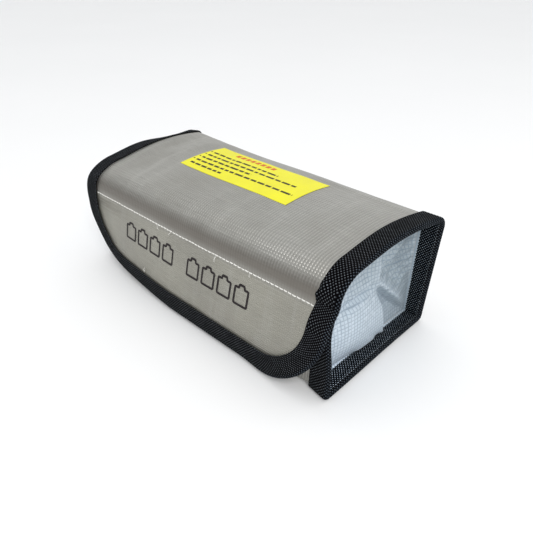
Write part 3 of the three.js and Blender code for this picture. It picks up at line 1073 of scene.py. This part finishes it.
def make_gauge():
    """A row of battery cells in outline on the flap, with a gap in the middle of the row."""
    printed = Gathered()
    base, cell, neck, tall, stroke = FOLD_Z - 26.6, 8.2, 3.2, 9.4, 1.15
    side = (cell - neck) / 2
    top, shoulder = base - tall, base - tall + 1.5
    for index in range(8):
        x = -48.0 + index * 11.2 + (9.0 if index > 3 else 0.0)
        loop = rounded([(x, base), (x + cell, base), (x + cell, shoulder),
                        (x + cell - side, shoulder), (x + cell - side, top), (x + side, top),
                        (x + side, shoulder), (x, shoulder)], 0.7)
        normal = sideways(np.roll(loop, -1, 0) - np.roll(loop, 1, 0))
        ring = np.stack([loop + normal * stroke / 2, loop - normal * stroke / 2])
        x, drop = ring[..., 0], ring[..., 1]
        lift = CLOTH / 2 + 0.07 + lid_slack(x, LID_TURN + drop)
        faces = grid_faces(2, len(loop), wrap=True)
        printed.add(soften(flap(x, drop, lift)), stack(x, drop, 0), faces)
    piece = printed.mesh("cell_outlines", INK)
    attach(piece, "flap")
    return piece


def threads(name, lines, radius):
    """Short lengths of white thread with round ends. Each line is (travel, points, up)."""
    ring = np.linspace(0, TURN, 8, endpoint=False)
    caps = np.array([[0, 3, 2, 1], [0, 5, 4, 3], [0, 7, 6, 5]])
    sewn = Gathered()
    for t, centre, up in lines:
        across = unit(np.cross(unit(np.gradient(centre, axis=0)), up))
        share = np.linspace(-1, 1, len(t))
        wide = radius * np.sqrt(np.clip(1 - share ** 6, 0.02, 1))[:, None, None]
        turned = np.cos(ring)[None, :, None] * across[:, None]
        turned = turned + np.sin(ring)[None, :, None] * up[:, None]
        last = (len(t) - 1) * len(ring)
        sewn.add(centre[:, None] + wide * turned, stack(t[:, None], ring[None, :] * radius, 0),
                 grid_faces(len(t), len(ring), wrap=True), caps, caps[:, ::-1] + last)
    piece = sewn.mesh(name, THREAD)
    return piece


STITCH, STITCH_GAP, THREAD_RADIUS = 2.5, 0.02, 0.29


def stitch_lines(path, normals):
    """The stitches along a path of points; each sinks into the cloth at its ends."""
    length = travel(path)
    rng = np.random.default_rng(61)
    share = np.linspace(0, 1, 9)
    lines = []
    start = 0.0
    while start + 1.06 * STITCH < length[-1]:
        size = STITCH * float(rng.uniform(0.9, 1.06))
        t = start + share * size
        centre = np.stack(read_path(t, length, path), -1)
        up = unit(np.stack(read_path(t, length, normals), -1))
        across = unit(np.cross(np.gradient(centre, axis=0), up))
        lean = 0.16 * (share - 0.5) + float(rng.uniform(-0.08, 0.08)) * np.sin(math.pi * share)
        centre = centre + across * lean[:, None]
        centre = centre + up * (THREAD_RADIUS * (1.1 * np.sin(math.pi * share) - 0.5))[:, None]
        lines.append((t, centre, up))
        start += size + STITCH_GAP
    return lines


# Each loose end: where it leaves the cloth (x, drop), its direction on the flap, and its length.
LOOSE_ENDS = (
    (-21.0, SEAM_DROP, 0.7, 3.2), (-9.0, SEAM_DROP, 2.2, 2.6), (24.0, SEAM_DROP, 1.4, 3.4),
    (25.0, SEAM_DROP, 2.0, 2.4), (46.0, SEAM_DROP, 1.0, 2.2), (-29.5, 34.6, -1.4, 2.8),
    (-28.6, 34.8, -1.8, 2.0),
)


def make_thread():
    x = np.linspace(-81.6, 83.4, 700)
    drop = SEAM_DROP + 0 * x
    lift = lid_slack(x, LID_TURN + drop)
    path = soften(flap(x, drop, CLOTH / 2 + lift))
    above = soften(flap(x, drop, CLOTH / 2 + lift + 1))
    seam = threads("flap_stitches", stitch_lines(path, above - path), THREAD_RADIUS)
    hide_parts("flap_seam")
    hinge_blend(seam)

    ends = []
    share = np.linspace(0, 1, 12)
    for x, drop, turn, size in LOOSE_ENDS:
        along = x + size * share * math.cos(turn) + 0.5 * np.sin(3 * share)
        down = drop + size * share * math.sin(turn)
        lift = lid_slack(along, LID_TURN + down) + CLOTH / 2 + 0.12 + 0.9 * np.sin(2.6 * share)
        centre = soften(flap(along, down, lift))
        up = unit(soften(flap(along, down, lift + 1)) - centre)
        ends.append((size * share, centre, up))
    loose = threads("thread_ends", ends, 0.1)
    hinge_blend(loose)
    return seam, loose


# ---- Camera, light and table ----

def make_camera():
    azimuth, elevation, roll = (math.radians(v) for v in (44.38, 31.6, -0.33))
    distance, side, rise = 282.4, -14.15, 17.28
    back = Vector((math.sin(azimuth) * math.cos(elevation),
                   -math.cos(azimuth) * math.cos(elevation), math.sin(elevation)))
    right = Vector((0, 0, 1)).cross(back).normalized()
    up = back.cross(right)
    across = right * math.cos(roll) + up * math.sin(roll)
    above = up * math.cos(roll) - right * math.sin(roll)
    place = Vector((0, 0, 30)) - across * side - above * rise + back * distance
    data = bpy.data.cameras.new("camera")
    data.sensor_width = 36
    data.lens = 520 / 533 * 36
    data.clip_start, data.clip_end = 0.01, 50
    camera = bpy.data.objects.new("camera", data)
    turn = Matrix((across, above, back)).transposed().to_4x4()
    camera.matrix_world = Matrix.Translation(place * MM) @ turn
    bpy.context.scene.collection.objects.link(camera)
    bpy.context.scene.camera = camera


def add_key_light():
    data = bpy.data.lights.new("key", "AREA")
    data.shape = "RECTANGLE"
    data.size = data.size_y = 0.7
    data.energy = 10.0
    lamp = bpy.data.objects.new("key", data)
    lamp.location = (0.84, -0.61, 0.9)
    aim = Vector((0, 0, 0.03)) - lamp.location
    lamp.rotation_euler = aim.to_track_quat("-Z", "Y").to_euler()
    bpy.context.scene.collection.objects.link(lamp)


def make_studio():
    """A room that is brighter behind and over the bag, a soft key light and a pale table."""
    world = bpy.data.worlds.new("studio")
    bpy.context.scene.world = world
    world.use_nodes = True
    tree = world.node_tree
    ahead = add_node(tree, "TexCoord").outputs["Generated"]
    bright = Vector((-0.6, 0.6, 0.5)).normalized()
    facing = add_node(tree, "VectorMath", {0: ahead, 1: bright}, operation="DOT_PRODUCT")
    limits = {0: facing.outputs["Value"], 1: -0.3, 2: 0.5, 3: 0.5, 4: 1.08}
    shade = add_node(tree, "MapRange", limits, interpolation_type="SMOOTHSTEP")
    background = tree.nodes["Background"]
    background.inputs["Color"].default_value = (0.98, 0.99, 1, 1)
    tree.links.new(shade.outputs[0], background.inputs["Strength"])
    add_key_light()
    floor = np.array([[-6, -6, 0], [6, -6, 0], [6, 6, 0], [-6, 6, 0]]) / MM - [0, 0, 0.1]
    add_mesh("table", floor, [[0, 1, 2, 3]], table_top())
    bpy.context.scene.view_settings.view_transform = "Standard"


make_camera()
make_studio()
wrap, cover, lining, lid_lining = make_cloth()
end_tapes, flap_tape, mouth_tape = make_tapes()
ends = make_ends()
hook, loop = make_strips()
label = make_label()
label_lines = make_label_lines()
gauge = make_gauge()
seam, loose_threads = make_thread()
